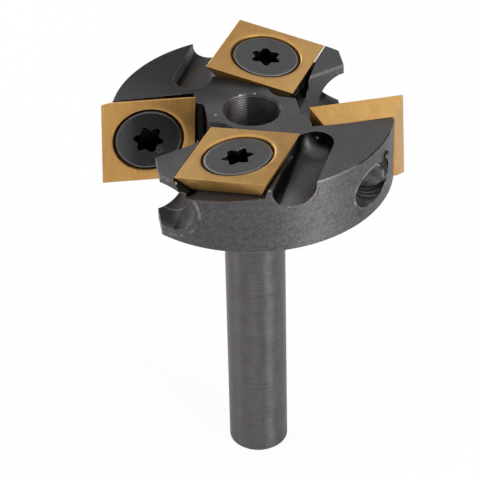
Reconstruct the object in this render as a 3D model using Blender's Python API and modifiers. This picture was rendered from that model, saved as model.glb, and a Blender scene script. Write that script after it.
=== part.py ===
"""Surfacing router bit: a round steel head with four square cutting inserts on a straight shank.

The origin is the middle of the shank's flat end, and +Z runs up the shank to the cutting face.
Two inserts lie in the face and sweep the bottom of the cut. Two stand at the rim and cut its wall.
Every cut in the head is made twice, half a turn apart. Seen from the cutting face the head turns
anticlockwise, so the standing pair looks along -Y on the left and along +Y on the right.
"""

import math

import bmesh
import bpy
from mathutils import Matrix, Vector

MM = 0.001
DEG = math.pi / 180

# Shank: a plain round bar with a threaded stud that screws into the head
SHANK_RADIUS = 4.0 * MM
SHANK_LENGTH = 44.75 * MM
SHANK_CHAMFER = 0.4 * MM
STUD_LENGTH = 5.0 * MM
STUD_CHAMFER = 0.4 * MM

# Head
HEAD_RADIUS = 18.0 * MM
HEAD_THICKNESS = 9.2 * MM
HEAD_EDGE = 0.15 * MM
CENTRE_HOLE_RADIUS = 3.45 * MM
CENTRE_HOLE_CHAMFER = 0.3 * MM

# Inserts: a square with its cutting edges round the face and flanks that fall away behind them
INSERT_SIDE = 12.0 * MM
INSERT_THICKNESS = 2.5 * MM
FLANK_ANGLE = 30.0 * DEG
SINK_RADIUS = 4.7 * MM
SINK_ANGLE = 45.0 * DEG
INSERT_HOLE_RADIUS = 2.85 * MM

# Insert screws, all four alike
SCREW_RADIUS = 2.5 * MM
SCREW_REACH = 8.6 * MM
SCREW_HEAD_RADIUS = 4.23 * MM
SCREW_HEAD_DEPTH = 0.15 * MM
SCREW_HEAD_LAND = 0.1 * MM
SCREW_HEAD_ROUND = 0.1 * MM
SCREW_END_CHAMFER = 0.4 * MM
SOCKET_TIP_RADIUS = 1.97 * MM
SOCKET_ROOT_RADIUS = 1.38 * MM
SOCKET_DEPTH = 1.9 * MM

# Where the lying pair sits: its yaw from the standing pair, and its tilts from the face
LYING_YAW = 30.0 * DEG
LYING_LEAD = 7.6 * DEG
LYING_DIP = 1.0 * DEG
LYING_RISE = 0.88 * MM
LYING_ASIDE = 2.4 * MM
LYING_SETBACK = 0.66 * MM

# Where the standing pair sits
STANDING_OVERHANG = 1.08 * MM
STANDING_RISE = 1.34 * MM
STANDING_BACK = 2.37 * MM
STANDING_DISH = 2.2 * DEG
STANDING_RAKE = 0.8 * DEG

# Clearances
SEAT_GAP = 0.3 * MM
SIDE_GAP = 0.15 * MM
THREAD_GAP = 0.15 * MM
SHOULDER_GAP = 0.1 * MM

# Lean of a lying pocket's walls, which follow the insert's flanks
POCKET_LEAN = 20.0 * DEG

# Relief at the inner corner of a lying pocket, measured from the insert's corner: a slot milled out
# into the gullet, a little deeper than the pocket's floor
RELIEF_RADIUS = 2.2 * MM
RELIEF_ALONG = 1.25 * MM
RELIEF_ACROSS = 0.87 * MM
RELIEF_DEEPER = 0.2 * MM
RELIEF_RUN = 3.5 * MM
RELIEF_SPLAY = 9.0 * DEG

# Chip slot beside a lying insert, cut by a ball-nosed tool, measured from the insert's corner
SLOT_RADIUS = 2.4 * MM
SLOT_DEPTH = 2.85 * MM
SLOT_ASIDE = 1.5 * MM
SLOT_INWARD = 1.1 * MM
SLOT_SPLAY = 5.4 * DEG

# Chip gullet in front of a standing insert, and the horn that it leaves beside the lying one
GULLET_STEP = 1.25 * MM
GULLET_CORNER = 1.0 * MM
GULLET_BEND = 1.8 * MM
HORN_TIP_WIDTH = 0.2 * MM
HORN_TIP_SETBACK = 3.73 * MM
HORN_SETBACK = 4.64 * MM
HORN_CORNER = 8.2 * MM

# Bore through the horn, on the standing screw's axis, that lets the driver in
DRIVER_BORE_RADIUS = 3.3 * MM

# How far the cutting tools overshoot, so that no cut ends on a face
OVERSHOOT = 2.0 * MM

HEAD_STEPS = 128
SHANK_STEPS = 72
SCREW_STEPS = 48
ARC_STEPS = 8
SOCKET_POINTS = 48

# How far each screw's socket stopped from the insert's own edge
SOCKET_TURNS = {
    "lying_a": 51.3 * DEG,
    "lying_b": 26.5 * DEG,
    "standing_a": 12.0 * DEG,
    "standing_b": 47.0 * DEG,
}

HEAD_BOTTOM = SHANK_LENGTH + SHOULDER_GAP
FACE_HEIGHT = HEAD_BOTTOM + HEAD_THICKNESS
HALF_SIDE = INSERT_SIDE / 2
STUD_RADIUS = CENTRE_HOLE_RADIUS - THREAD_GAP
TAPPED_RADIUS = SCREW_RADIUS + THREAD_GAP
POCKET_DEPTH = INSERT_THICKNESS + SEAT_GAP
POCKET_WALL = HALF_SIDE + SIDE_GAP
STANDING_OUT = HEAD_RADIUS + STANDING_OVERHANG - HALF_SIDE
STANDING_DROP = HALF_SIDE - STANDING_RISE
LYING_OUT = HEAD_RADIUS - LYING_SETBACK - HALF_SIDE

# (slot of the pair, half turns about the axis)
PAIR = (("a", 1), ("b", 0))


def remove_objects():
    """Clear the scene that the file opens with."""
    for item in list(bpy.data.objects):
        bpy.data.objects.remove(item, do_unlink=True)


def new_collection(name):
    """A collection linked to the scene."""
    collection = bpy.data.collections.new(name)
    bpy.context.scene.collection.children.link(collection)
    return collection


def new_material(name, colour, metallic, roughness):
    """One plain Principled BSDF."""
    material = bpy.data.materials.new(name)
    material.use_nodes = True
    shader = material.node_tree.nodes["Principled BSDF"]
    shader.inputs["Base Color"].default_value = (*colour, 1.0)
    shader.inputs["Metallic"].default_value = metallic
    shader.inputs["Roughness"].default_value = roughness
    return material


def add_object(name, mesh, collection, place=None):
    """An object for a mesh, in one collection, at a place."""
    item = bpy.data.objects.new(name, mesh)
    collection.objects.link(item)
    if place is not None:
        item.matrix_world = place
    return item


def mesh_from(name, shape):
    """A mesh datablock from a bmesh, which is freed."""
    mesh = bpy.data.meshes.new(name)
    shape.to_mesh(mesh)
    shape.free()
    return mesh


def turned(name, profile, steps, collection, place=None, closed=False):
    """A turned shape: (radius, height) points, listed down the outer side, spun about Z."""
    shape = bmesh.new()
    points = [shape.verts.new((radius, 0, height)) for radius, height in profile]
    for upper, lower in zip(points, points[1:]):
        shape.edges.new((upper, lower))
    if closed:
        shape.edges.new((points[-1], points[0]))
    item = add_object(name, mesh_from(name, shape), collection, place)
    spin = item.modifiers.new("spin", "SCREW")
    spin.axis = "Z"
    spin.angle = 2 * math.pi
    spin.steps = steps
    spin.render_steps = steps
    spin.use_merge_vertices = True
    spin.merge_threshold = 0.00001
    spin.use_smooth_shade = True
    return item


def block(name, low, high, collection, place, lean=0.0):
    """A box between two corners of the frame that it is placed by. Its sides lean out about Z = 0."""
    low = Vector(low)
    high = Vector(high)
    shape = bmesh.new()
    bmesh.ops.create_cube(shape, size=1.0)
    bmesh.ops.scale(shape, vec=high - low, verts=shape.verts)
    bmesh.ops.translate(shape, vec=(high + low) / 2, verts=shape.verts)
    for point in shape.verts:
        spread = point.co.z * math.tan(lean)
        point.co.x += math.copysign(1, point.co.x) * spread
        point.co.y += math.copysign(1, point.co.y) * spread
    return add_object(name, mesh_from(name, shape), collection, place)


def rod(name, radius, low, high, collection, place, steps=SCREW_STEPS):
    """A round bar along the Z of the frame that it is placed by."""
    shape = bmesh.new()
    bmesh.ops.create_cone(shape, cap_ends=True, segments=steps, radius1=radius, radius2=radius,
                          depth=high - low)
    bmesh.ops.translate(shape, vec=(0, 0, (low + high) / 2), verts=shape.verts)
    return add_object(name, mesh_from(name, shape), collection, place)


def prism(name, outline, low, high, collection, place=None):
    """A flat outline, extruded along Z from one height to another and made a mesh."""
    curve = bpy.data.curves.new(name, "CURVE")
    curve.dimensions = "2D"
    curve.fill_mode = "BOTH"
    curve.extrude = (high - low) / 2
    spline = curve.splines.new("POLY")
    spline.points.add(len(outline) - 1)
    for point, (x, y) in zip(spline.points, outline):
        point.co = (x, y, 0, 1)
    spline.use_cyclic_u = True
    drawing = add_object(name + "_outline", curve, collection)
    bpy.context.view_layer.update()
    evaluated = drawing.evaluated_get(bpy.context.evaluated_depsgraph_get())
    mesh = bpy.data.meshes.new_from_object(evaluated)
    bpy.data.objects.remove(drawing, do_unlink=True)
    shape = bmesh.new()
    shape.from_mesh(mesh)
    bmesh.ops.remove_doubles(shape, verts=shape.verts, dist=0.000001)
    bmesh.ops.translate(shape, vec=(0, 0, (low + high) / 2), verts=shape.verts)
    bmesh.ops.recalc_face_normals(shape, faces=shape.faces)
    shape.to_mesh(mesh)
    shape.free()
    return add_object(name, mesh, collection, place)


def cut(item, tool):
    """Take the tool's shape out of the item."""
    tool.hide_render = True
    tool.display_type = "WIRE"
    step = item.modifiers.new(tool.name, "BOOLEAN")
    step.operation = "DIFFERENCE"
    step.solver = "EXACT"
    step.object = tool


def half_turns(count):
    """The frame that a copy of the pair is made in."""
    return Matrix.Rotation(count * math.pi, 4, "Z")


def lying_plan(count):
    """A lying insert's frame before it is tilted: X along its inner edge, Y towards the axis."""
    yaw = Matrix.Rotation(-LYING_YAW, 4, "Z")
    middle = Matrix.Translation((LYING_ASIDE, -LYING_OUT, FACE_HEIGHT))
    return half_turns(count) @ yaw @ middle


def lying_place(count):
    """A lying insert's frame: the origin is the middle of its face, and Z is the face's normal."""
    lead = Matrix.Rotation(-LYING_LEAD, 4, "Y")
    dip = Matrix.Rotation(-LYING_DIP, 4, "X")
    return lying_plan(count) @ Matrix.Translation((0, 0, LYING_RISE)) @ lead @ dip


def standing_place(count):
    """A standing insert's frame: X runs towards the axis, Y up, and Z out of the face."""
    middle = Matrix.Translation((-STANDING_OUT, STANDING_BACK, FACE_HEIGHT - STANDING_DROP))
    dish = Matrix.Rotation(STANDING_DISH, 4, "Y")
    rake = Matrix.Rotation(math.pi / 2 - STANDING_RAKE, 4, "X")
    return half_turns(count) @ middle @ dish @ rake


def arc(centre, radius, start, end, steps=ARC_STEPS):
    """Points along an arc, both ends included, angles in degrees."""
    points = []
    for step in range(steps + 1):
        angle = math.radians(start + (end - start) * step / steps)
        points.append((centre[0] + radius * math.cos(angle), centre[1] + radius * math.sin(angle)))
    return points


def relief_outline():
    """The plan of a corner relief: round at its inner end, and drawn out to its open end."""
    corner = (RELIEF_ALONG - HALF_SIDE, HALF_SIDE - RELIEF_ACROSS)
    run = math.pi + RELIEF_SPLAY
    heading = math.degrees(run)
    points = arc(corner, RELIEF_RADIUS, heading + 90, heading + 270, 3 * ARC_STEPS)
    away = (RELIEF_RUN * math.cos(run), RELIEF_RUN * math.sin(run))
    points.append((points[-1][0] + away[0], points[-1][1] + away[1]))
    points.append((points[0][0] + away[0], points[0][1] + away[1]))
    return points


def gullet_outline():
    """The plan of the left gullet: inner wall, slanted edge to the horn's tip, horn, the air outside."""
    wall = -(STANDING_OUT - HALF_SIDE - GULLET_STEP)
    back = STANDING_BACK + GULLET_CORNER / 2
    corner = (wall - GULLET_CORNER, back - GULLET_CORNER)
    tip = lying_plan(0) @ Vector((-POCKET_WALL - HORN_TIP_WIDTH, HALF_SIDE - HORN_TIP_SETBACK, 0))
    facet = -(HEAD_RADIUS - HORN_SETBACK)
    outside = HEAD_RADIUS + OVERSHOOT
    points = [(wall, -GULLET_BEND), (tip.x, tip.y), (facet, -HORN_CORNER)]
    points += [(facet, -outside), (-outside, -outside), (-outside, back)]
    points += arc(corner, GULLET_CORNER, 90, 0)
    return points


def socket_outline():
    """The six-lobed socket: its radius swings between the tips and the roots six times a turn."""
    middle = (SOCKET_TIP_RADIUS + SOCKET_ROOT_RADIUS) / 2
    swing = (SOCKET_TIP_RADIUS - SOCKET_ROOT_RADIUS) / 2
    points = []
    for step in range(SOCKET_POINTS):
        angle = 2 * math.pi * step / SOCKET_POINTS
        radius = middle + swing * math.cos(6 * angle)
        points.append((radius * math.cos(angle), radius * math.sin(angle)))
    return points


def ball_nosed_tool(name, length, top, collection, place):
    """What a ball-nosed cutter clears on a run along Y from the origin: half a turned cutter, drawn out."""
    shape = bmesh.new()
    outline = [(SLOT_RADIUS * math.sin(angle), -SLOT_RADIUS * math.cos(angle))
               for angle in (math.pi / 2 * step / ARC_STEPS for step in range(ARC_STEPS + 1))]
    outline += [(SLOT_RADIUS, top), (0, top)]
    points = [shape.verts.new((radius, 0, height)) for radius, height in outline]
    for upper, lower in zip(points, points[1:]):
        shape.edges.new((upper, lower))
    bmesh.ops.spin(shape, geom=list(shape.verts) + list(shape.edges), cent=(0, 0, 0), axis=(0, 0, 1),
                   angle=-math.pi, steps=2 * ARC_STEPS)
    bmesh.ops.remove_doubles(shape, verts=shape.verts, dist=0.000001)
    rim = [edge for edge in shape.edges if edge.is_boundary]
    drawn = bmesh.ops.extrude_edge_only(shape, edges=rim)["geom"]
    far = [part for part in drawn if isinstance(part, bmesh.types.BMVert)]
    bmesh.ops.translate(shape, vec=(0, length, 0), verts=far)
    bmesh.ops.holes_fill(shape, edges=[part for part in drawn if isinstance(part, bmesh.types.BMEdge)],
                         sides=0)
    bmesh.ops.recalc_face_normals(shape, faces=shape.faces)
    return add_object(name, mesh_from(name, shape), collection, place)


def make_shank(collection, material):
    """The bar, its chamfered flat end and the stud above its shoulder."""
    stud_top = SHANK_LENGTH + STUD_LENGTH
    profile = [
        (0, stud_top),
        (STUD_RADIUS - STUD_CHAMFER, stud_top),
        (STUD_RADIUS, stud_top - STUD_CHAMFER),
        (STUD_RADIUS, SHANK_LENGTH),
        (SHANK_RADIUS, SHANK_LENGTH),
        (SHANK_RADIUS, SHANK_CHAMFER),
        (SHANK_RADIUS - SHANK_CHAMFER, 0),
        (0, 0),
    ]
    shank = turned("shank", profile, SHANK_STEPS, collection)
    shank.data.materials.append(material)
    return shank


def lying_cuts(slot, count, tools):
    """The tools that cut one lying insert's pocket, corner relief, chip slot and tapped hole."""
    place = lying_place(count)
    reach = 2 * HEAD_RADIUS
    pocket = block("lying_pocket_" + slot, (-POCKET_WALL, -reach, -POCKET_DEPTH),
                   (POCKET_WALL, POCKET_WALL, HEAD_THICKNESS), tools, place, POCKET_LEAN)
    relief = prism("corner_relief_" + slot, relief_outline(), -POCKET_DEPTH - RELIEF_DEEPER,
                   HEAD_THICKNESS, tools, place)
    tapped = rod("lying_tapped_hole_" + slot, TAPPED_RADIUS, -2 * HEAD_THICKNESS, 0, tools, place)
    ball_height = SLOT_RADIUS - SLOT_DEPTH
    start = Vector((HALF_SIDE + SLOT_ASIDE, HALF_SIDE + SLOT_INWARD, ball_height))
    outwards = Matrix.Rotation(math.pi + SLOT_SPLAY, 4, "Z")
    chip_slot = ball_nosed_tool("chip_slot_" + slot, reach, OVERSHOOT - ball_height, tools,
                                lying_plan(count) @ Matrix.Translation(start) @ outwards)
    return [pocket, relief, chip_slot, tapped]


def standing_cuts(slot, count, tools):
    """The tools that cut one standing insert's gullet, pocket, tapped hole and driver bore."""
    place = standing_place(count)
    reach = 2 * HEAD_RADIUS
    gullet = prism("gullet_" + slot, gullet_outline(), HEAD_BOTTOM - OVERSHOOT,
                   FACE_HEIGHT + OVERSHOOT, tools, half_turns(count))
    pocket = block("standing_pocket_" + slot, (-reach, -reach, -POCKET_DEPTH),
                   (POCKET_WALL, reach, GULLET_CORNER / 4), tools, place)
    tapped = rod("standing_tapped_hole_" + slot, TAPPED_RADIUS, -reach, 0, tools, place)
    bore = rod("driver_bore_" + slot, DRIVER_BORE_RADIUS, 0, reach, tools, place)
    return [gullet, pocket, tapped, bore]


def make_head(collection, tools, material):
    """The disc with its threaded centre hole, and every cut in it."""
    mouth = CENTRE_HOLE_RADIUS + CENTRE_HOLE_CHAMFER
    profile = [
        (mouth, FACE_HEIGHT),
        (HEAD_RADIUS - HEAD_EDGE, FACE_HEIGHT),
        (HEAD_RADIUS, FACE_HEIGHT - HEAD_EDGE),
        (HEAD_RADIUS, HEAD_BOTTOM + HEAD_EDGE),
        (HEAD_RADIUS - HEAD_EDGE, HEAD_BOTTOM),
        (CENTRE_HOLE_RADIUS, HEAD_BOTTOM),
        (CENTRE_HOLE_RADIUS, FACE_HEIGHT - CENTRE_HOLE_CHAMFER),
    ]
    head = turned("cutter_head", profile, HEAD_STEPS, collection, closed=True)
    head.data.materials.append(material)
    for slot, count in PAIR:
        for tool in standing_cuts(slot, count, tools) + lying_cuts(slot, count, tools):
            cut(head, tool)
    return head


def make_insert(name, place, collection, tools, material):
    """A square insert with bevelled flanks and a countersunk hole."""
    back = HALF_SIDE - INSERT_THICKNESS * math.tan(FLANK_ANGLE)
    shape = bmesh.new()
    bmesh.ops.create_cone(shape, cap_ends=True, segments=4, radius1=back * math.sqrt(2),
                          radius2=HALF_SIDE * math.sqrt(2), depth=INSERT_THICKNESS,
                          matrix=Matrix.Rotation(math.pi / 4, 4, "Z"))
    bmesh.ops.translate(shape, vec=(0, 0, -INSERT_THICKNESS / 2), verts=shape.verts)
    insert = add_object(name, mesh_from(name, shape), collection, place)
    insert.data.materials.append(material)
    sink_depth = (SINK_RADIUS - INSERT_HOLE_RADIUS) / math.tan(SINK_ANGLE)
    profile = [
        (0, OVERSHOOT),
        (SINK_RADIUS + OVERSHOOT * math.tan(SINK_ANGLE), OVERSHOOT),
        (INSERT_HOLE_RADIUS, -sink_depth),
        (INSERT_HOLE_RADIUS, -INSERT_THICKNESS - OVERSHOOT),
        (0, -INSERT_THICKNESS - OVERSHOOT),
    ]
    cut(insert, turned(name + "_hole", profile, SCREW_STEPS, tools, place))
    return insert


def make_screw(name, place, turn, collection, tools, material):
    """A countersunk screw, seated just below its insert's face, with a six-lobed socket."""
    top = -SCREW_HEAD_DEPTH
    cone_top = top - SCREW_HEAD_ROUND - SCREW_HEAD_LAND
    cone_bottom = cone_top - (SCREW_HEAD_RADIUS - SCREW_RADIUS) / math.tan(SINK_ANGLE)
    profile = [
        (0, top),
        (SCREW_HEAD_RADIUS - SCREW_HEAD_ROUND, top),
        (SCREW_HEAD_RADIUS, top - SCREW_HEAD_ROUND),
        (SCREW_HEAD_RADIUS, cone_top),
        (SCREW_RADIUS, cone_bottom),
        (SCREW_RADIUS, SCREW_END_CHAMFER - SCREW_REACH),
        (SCREW_RADIUS - SCREW_END_CHAMFER, -SCREW_REACH),
        (0, -SCREW_REACH),
    ]
    screw = turned(name, profile, SCREW_STEPS, collection, place)
    screw.data.materials.append(material)
    socket = prism(name + "_socket", socket_outline(), top - SOCKET_DEPTH, top + OVERSHOOT, tools,
                   place @ Matrix.Rotation(turn, 4, "Z"))
    cut(screw, socket)
    return screw


def build():
    """Model the whole bit."""
    remove_objects()
    parts = new_collection("surfacing_router_bit")
    tools = new_collection("cutters")
    head_black = new_material("head_black_oxide", (0.06, 0.058, 0.062), 0.8, 0.45)
    shank_black = new_material("shank_black_oxide", (0.055, 0.053, 0.056), 0.85, 0.38)
    insert_gold = new_material("insert_gold_coating", (0.52, 0.30, 0.10), 0.9, 0.35)
    screw_black = new_material("screw_black_oxide", (0.07, 0.07, 0.073), 0.8, 0.42)
    make_shank(parts, shank_black)
    make_head(parts, tools, head_black)
    for slot, count in PAIR:
        for kind, place in (("lying", lying_place(count)), ("standing", standing_place(count))):
            name = kind + "_" + slot
            make_insert("insert_" + name, place, parts, tools, insert_gold)
            make_screw("screw_" + name, place, SOCKET_TURNS[name], parts, tools, screw_black)


build()
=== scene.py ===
# %% [markdown]
# # Dressing a surfacing router bit
#
# A surfacing bit planes a board flat. It is a steel disc on a straight shank, with four square carbide
# inserts screwed into milled pockets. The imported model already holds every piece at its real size. This
# lesson gives the pieces the finish that a camera sees: black oxide, ground carbide under a gold coating,
# screw heads, bored and tapped holes, and the small burrs that the cutters left behind.

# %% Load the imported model
import math
import random

import bmesh
import bpy
from mathutils import Matrix, Vector


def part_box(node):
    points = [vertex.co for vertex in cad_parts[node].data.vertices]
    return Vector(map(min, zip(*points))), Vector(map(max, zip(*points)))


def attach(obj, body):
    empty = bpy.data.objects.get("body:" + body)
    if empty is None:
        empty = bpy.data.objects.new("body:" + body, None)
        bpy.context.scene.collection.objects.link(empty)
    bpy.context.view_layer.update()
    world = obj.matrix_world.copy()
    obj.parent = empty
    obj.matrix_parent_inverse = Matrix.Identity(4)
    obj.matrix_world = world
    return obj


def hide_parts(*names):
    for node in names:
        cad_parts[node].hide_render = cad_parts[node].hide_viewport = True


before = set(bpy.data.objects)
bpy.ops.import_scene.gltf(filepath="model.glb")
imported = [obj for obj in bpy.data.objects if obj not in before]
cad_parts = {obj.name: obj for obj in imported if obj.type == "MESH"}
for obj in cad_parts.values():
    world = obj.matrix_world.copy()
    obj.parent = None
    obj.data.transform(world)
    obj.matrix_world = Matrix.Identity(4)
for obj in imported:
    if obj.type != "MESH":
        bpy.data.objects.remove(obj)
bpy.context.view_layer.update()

print("pieces:", sorted(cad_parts))

# %% [markdown]
# ## Sizes
#
# Every length below is in millimetres and is turned into metres in one place. The big sizes are measured
# from the model, so the finish stays on the part if the part is changed.

# %% Measure the model
MM = 0.001
head_low, head_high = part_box("cutter_head")
shank_low, shank_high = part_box("shank")
FACE = head_high.z / MM
HEAD_BACK = head_low.z / MM
HEAD_RADIUS = head_high.y / MM
SHANK_RADIUS = shank_high.x / MM
print("in mm: face at", round(FACE, 2), "head radius", round(HEAD_RADIUS, 2), "shank radius",
      round(SHANK_RADIUS, 2))

# %% [markdown]
# ## Where each insert sits
#
# The inserts are tilted, so their finish and their screws need a frame of their own. The cutting face is
# the largest flat side of an insert. Its normal gives Z, its middle gives the origin, and the side that
# points at the tool's axis gives X on a standing insert and Y on a lying one.

# %% Find the four seats
KINDS = ("lying_a", "lying_b", "standing_a", "standing_b")


def largest_side(node):
    """The normal and the corner points of a node's largest flat side."""
    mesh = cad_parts[node].data
    areas = {}
    points = {}
    for face in mesh.polygons:
        key = tuple(round(value, 2) for value in face.normal)
        areas[key] = areas.get(key, 0) + face.area
        points.setdefault(key, []).extend(mesh.vertices[index].co.copy() for index in face.vertices)
    best = max(areas, key=areas.get)
    return Vector(best).normalized(), points[best]


def seat_of(kind):
    """The frame of one insert's cutting face, in metres."""
    normal, points = largest_side("insert_" + kind)
    low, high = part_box("insert_" + kind)
    far = max(points, key=lambda point: (point - (low + high) / 2).length)
    opposite = max(points, key=lambda point: (point - far).length)
    middle = (far + opposite) / 2
    diagonal = (far - opposite).normalized()
    normal = (normal - normal.dot(diagonal) * diagonal).normalized()
    sides = [Matrix.Rotation(math.radians(45 + 90 * turn), 3, normal) @ diagonal for turn in range(4)]
    inward = -Vector((middle.x, middle.y, 0))
    inner = max(sides, key=inward.dot)
    if kind.startswith("standing"):
        across, along = inner, normal.cross(inner)
    else:
        across, along = inner.cross(normal), inner
    axes = Matrix((across, along, normal)).transposed().to_4x4()
    return Matrix.Translation(middle) @ axes


SEATS = {kind: seat_of(kind) for kind in KINDS}
for kind, seat in SEATS.items():
    print(kind, "at", [round(value / MM, 2) for value in seat.translation],
          "faces", [round(value, 3) for value in seat.col[2][:3]])

# %% [markdown]
# ## Shader maths as plain expressions
#
# A procedural finish is mostly arithmetic on noise. Wiring one Math node at a time hides the formula, so a
# small class wraps a node's output and lets Python's own operators add the Math nodes. Every other node
# comes from one method that takes its type, its settings and its inputs.

# %% The shader helper
class Signal:
    """A node's output that can be used in arithmetic."""

    def __init__(self, finish, socket):
        self.finish = finish
        self.socket = socket

    def _math(self, operation, *values):
        return self.finish.node("ShaderNodeMath", {"operation": operation}, dict(enumerate(values)))

    def __add__(self, other):
        return self._math("ADD", self, other)

    def __radd__(self, other):
        return self._math("ADD", other, self)

    def __sub__(self, other):
        return self._math("SUBTRACT", self, other)

    def __rsub__(self, other):
        return self._math("SUBTRACT", other, self)

    def __mul__(self, other):
        return self._math("MULTIPLY", self, other)

    def __rmul__(self, other):
        return self._math("MULTIPLY", other, self)

    def __truediv__(self, other):
        return self._math("DIVIDE", self, other)

    def __rtruediv__(self, other):
        return self._math("DIVIDE", other, self)

    def __pow__(self, other):
        return self._math("POWER", self, other)

    def sine(self):
        return self._math("SINE", self)

    def size(self):
        return self._math("ABSOLUTE", self)

    def sign(self):
        return self._math("SIGN", self)

    def at_least(self, other):
        return self._math("MAXIMUM", self, other)

    def rise(self, low, high):
        """0 below low, 1 above high, and a smooth step between them."""
        ends = {"Value": self, "From Min": low, "From Max": high}
        return self.finish.node("ShaderNodeMapRange", {"interpolation_type": "SMOOTHSTEP"}, ends)

    def fall(self, low, high):
        """1 below low, 0 above high, and a smooth step between them."""
        return 1 - self.rise(low, high)


class Finish:
    """A material under construction, with its Principled BSDF."""

    def __init__(self, name, metallic=0.0, roughness=0.5):
        self.material = bpy.data.materials.new(name)
        self.material.use_nodes = True
        self.tree = self.material.node_tree
        self.shader = self.tree.nodes["Principled BSDF"]
        self.shader.inputs["Metallic"].default_value = metallic
        self.shader.inputs["Roughness"].default_value = roughness

    def node(self, kind, settings=None, inputs=None, output=0):
        """One node: its settings first, then the values and links of its inputs."""
        made = self.tree.nodes.new(kind)
        for name, value in (settings or {}).items():
            setattr(made, name, value)
        for name, value in (inputs or {}).items():
            if isinstance(value, Signal):
                self.tree.links.new(value.socket, made.inputs[name])
            else:
                made.inputs[name].default_value = value
        return Signal(self, made.outputs[output])

    def millimetres(self, scale=(1, 1, 1), source="Object"):
        """The place on the piece in millimetres, stretched by scale."""
        if source == "Object":
            place = self.node("ShaderNodeTexCoord", output="Object")
        else:
            place = self.node("ShaderNodeAttribute", {"attribute_name": source}, output="Vector")
        return self.node("ShaderNodeMapping", inputs={0: place, "Scale": [1000 * value for value in scale]})

    def split(self, vector):
        """The three numbers of a vector."""
        parts = self.node("ShaderNodeSeparateXYZ", inputs={0: vector}).socket.node
        return [Signal(self, socket) for socket in parts.outputs]

    def cloud(self, vector, scale, detail=3.0, roughness=0.55):
        """Noise around 0.5."""
        settings = {"Vector": vector, "Scale": scale, "Detail": detail, "Roughness": roughness}
        return self.node("ShaderNodeTexNoise", inputs=settings)

    def mix(self, amount, first, second):
        """One colour into another."""
        inputs = {"Factor": amount}
        made = self.node("ShaderNodeMix", {"data_type": "RGBA"}, inputs, output=2)
        for socket, value in ((made.socket.node.inputs[6], first), (made.socket.node.inputs[7], second)):
            if isinstance(value, Signal):
                self.tree.links.new(value.socket, socket)
            else:
                socket.default_value = (*value, 1)
        return made

    def bump(self, height, distance, strength=1.0):
        """A bump from a height between 0 and 1, with its real depth in metres."""
        inputs = {"Height": height, "Distance": distance, "Strength": strength}
        return self.node("ShaderNodeBump", inputs=inputs)

    def spot(self, place, centre, radius, core=0.7):
        """1 inside a small ball round a point in millimetres, 0 outside it."""
        inputs = {0: place, 1: centre}
        away = self.node("ShaderNodeVectorMath", {"operation": "DISTANCE"}, inputs, output="Value")
        return away.fall(radius * core, radius)

    def upward(self):
        """How far a surface faces up: 1 on a flat top, 0 on an upright wall."""
        normal = self.node("ShaderNodeNewGeometry", output="Normal")
        return self.split(normal)[2]

    def edges(self, radius):
        """1 on a sharp edge within radius, 0 away from it: how far a rounded normal leaves the true one."""
        rounded = self.node("ShaderNodeBevel", {"samples": 4}, {"Radius": radius})
        plain = self.node("ShaderNodeNewGeometry", output="Normal")
        inputs = {0: rounded, 1: plain}
        agree = self.node("ShaderNodeVectorMath", {"operation": "DOT_PRODUCT"}, inputs, output="Value")
        return (1 - agree).rise(0.01, 0.16)

    def paint(self, **links):
        """Link signals to the shader's inputs."""
        for socket, signal in links.items():
            self.tree.links.new(signal.socket, self.shader.inputs[socket.replace("_", " ").title()])
        return self.material


print("shader helper ready")

# %% [markdown]
# ## Black oxide on the head
#
# Black oxide is a thin brown-black layer grown on the steel, not a paint. It keeps the tool marks under it
# and wears grey on edges first. So the finish is built up in layers: an even dark tone, then painted shade
# in the hollows, then bare steel where chips and fingers have rubbed.
#
# Each layer needs a mask, a number from 0 to 1 that says where it lies. The masks are worked out from the
# place and the slope of a point, so the head needs no unwrapping. It is the same after half a turn, so most
# of them are measured in u and v, which turn the near half of the disc on to the far one. A few lie on one
# side only: for them, near grows towards the front left.

# %% A map of the head
BORE_CREST = 3.53
BORE_AXIS = (SEATS["standing_a"].translation.x / MM, 49.6)
TAP_AXIS = (SEATS["standing_b"].translation.x / MM, 49.2)
SLOT_LINE = ((-6.8, 7.7), (0.91, -0.42))


def off_point(plan, point, direction):
    """How far a place on a plan lies from a point, measured along a direction."""
    return (plan[0] - point[0]) * direction[0] + (plan[1] - point[1]) * direction[1]


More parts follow.
